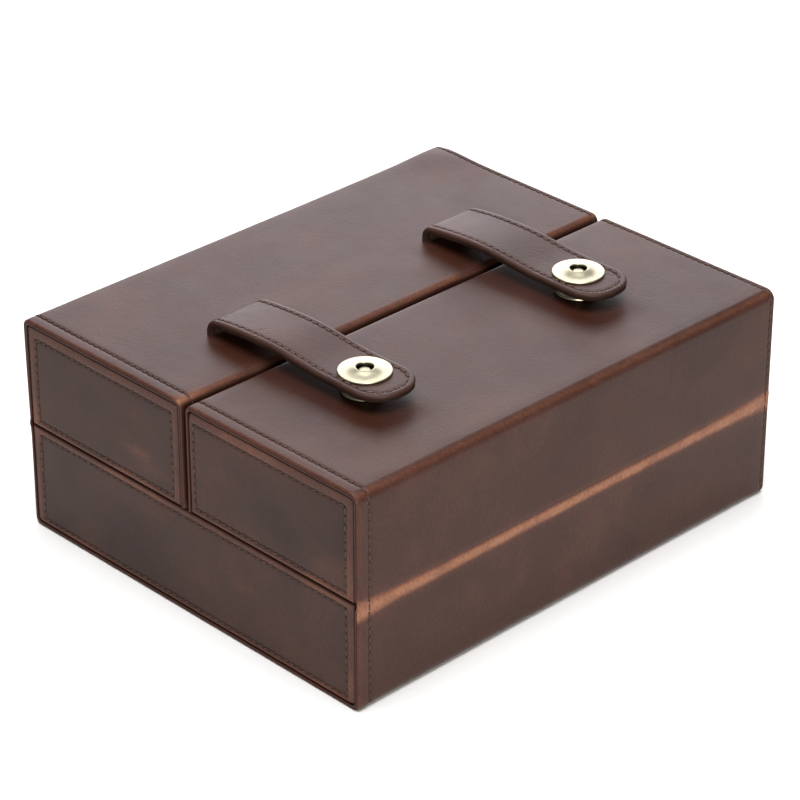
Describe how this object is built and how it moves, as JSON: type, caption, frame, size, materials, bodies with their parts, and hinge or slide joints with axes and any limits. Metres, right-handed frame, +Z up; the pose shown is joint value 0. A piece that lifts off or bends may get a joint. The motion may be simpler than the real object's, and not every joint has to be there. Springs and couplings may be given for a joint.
{
  "type": "jewellery case",
  "caption": "Leather jewellery case whose two upper trays fold outwards from a full-width base tray, closed by straps with snap buttons.",
  "frame": {"origin": "middle of the underside, on the surface the case stands on", "axes": "+X from the left tray to the right tray, +Y along the leather folds from the front end to the back end, +Z up"},
  "size_m": [0.176, 0.213, 0.0958],
  "materials": {
    "board": "uncoated fibreboard",
    "wrap_leather": "waxed pull-up leather, soft sheen",
    "panel_leather": "waxed pull-up leather, soft sheen",
    "fold_leather": "pull-up leather, lighter where it bends",
    "trim_leather": "skived leather edging",
    "strap_leather": "waxed pull-up leather, soft sheen",
    "strap_backing": "smooth backing leather, burnished edge",
    "suede_lining": "short-napped microsuede",
    "suede_roll": "short-napped microsuede over foam",
    "pocket_fabric": "gathered microsuede",
    "foam": "cut foam",
    "brass_snap": "pale antique brass, satin",
    "brass_hook": "satin brass"
  },
  "bodies": {
    "base": {"base_floor_board": "board", "base_left_wall_board": "board", "base_right_wall_board": "board", "base_front_end_board": "board", "base_back_end_board": "board", "base_wrap_leather": "wrap_leather", "base_front_end_panel": "panel_leather", "base_back_end_panel": "panel_leather", "base_lining": "suede_lining", "base_rim_trim": "trim_leather", "base_long_divider": "suede_lining", "base_cross_dividers": "suede_lining", "base_ring_bed": "foam", "base_ring_rolls": "suede_roll", "left_hinge_leather": "fold_leather", "right_hinge_leather": "fold_leather"},
    "left_lid": {"left_top_board": "board", "left_outer_wall_board": "board", "left_inner_wall_board": "board", "left_front_end_board": "board", "left_back_end_board": "board", "left_wrap_leather": "wrap_leather", "left_front_end_panel": "panel_leather", "left_back_end_panel": "panel_leather", "left_lining": "suede_lining", "left_rim_trim": "trim_leather", "left_ring_bed": "foam", "left_ring_rolls": "suede_roll", "front_strap_root": "strap_leather", "back_strap_root": "strap_leather"},
    "right_lid": {"right_top_board": "board", "right_outer_wall_board": "board", "right_inner_wall_board": "board", "right_front_end_board": "board", "right_back_end_board": "board", "right_wrap_leather": "wrap_leather", "right_front_end_panel": "panel_leather", "right_back_end_panel": "panel_leather", "right_lining": "suede_lining", "right_rim_trim": "trim_leather", "snap_studs": "brass_snap", "stud_washers": "brass_snap", "necklace_bar": "suede_roll", "necklace_hooks": "brass_hook", "chain_pocket": "pocket_fabric"},
    "front_strap": {"front_strap_leather": "strap_leather", "front_strap_backing": "strap_backing", "front_snap_cap": "brass_snap", "front_snap_socket": "brass_snap"},
    "back_strap": {"back_strap_leather": "strap_leather", "back_strap_backing": "strap_backing", "back_snap_cap": "brass_snap", "back_snap_socket": "brass_snap"}
  },
  "joints": [
    {"name": "left_lid_hinge", "type": "hinge", "parent": "base", "child": "left_lid", "pos_m": [-0.08815, 0, 0.0432], "axis": [0, -1, 0], "range_deg": [0, 173], "deforming": ["left_hinge_leather"]},
    {"name": "right_lid_hinge", "type": "hinge", "parent": "base", "child": "right_lid", "pos_m": [0.08815, 0, 0.0432], "axis": [0, 1, 0], "range_deg": [0, 180], "deforming": ["right_hinge_leather"]},
    {"name": "front_strap_hinge", "type": "hinge", "parent": "left_lid", "child": "front_strap", "pos_m": [-0.02996, -0.0542, 0.09077], "axis": [0, -1, 0], "range_deg": [0, 110]},
    {"name": "back_strap_hinge", "type": "hinge", "parent": "left_lid", "child": "back_strap", "pos_m": [-0.02996, 0.0542, 0.09077], "axis": [0, -1, 0], "range_deg": [0, 110]}
  ],
  "couplings": [
    {"joint": "right_lid_hinge", "follows": "left_lid_hinge", "ratio": 1.04}
  ]
}
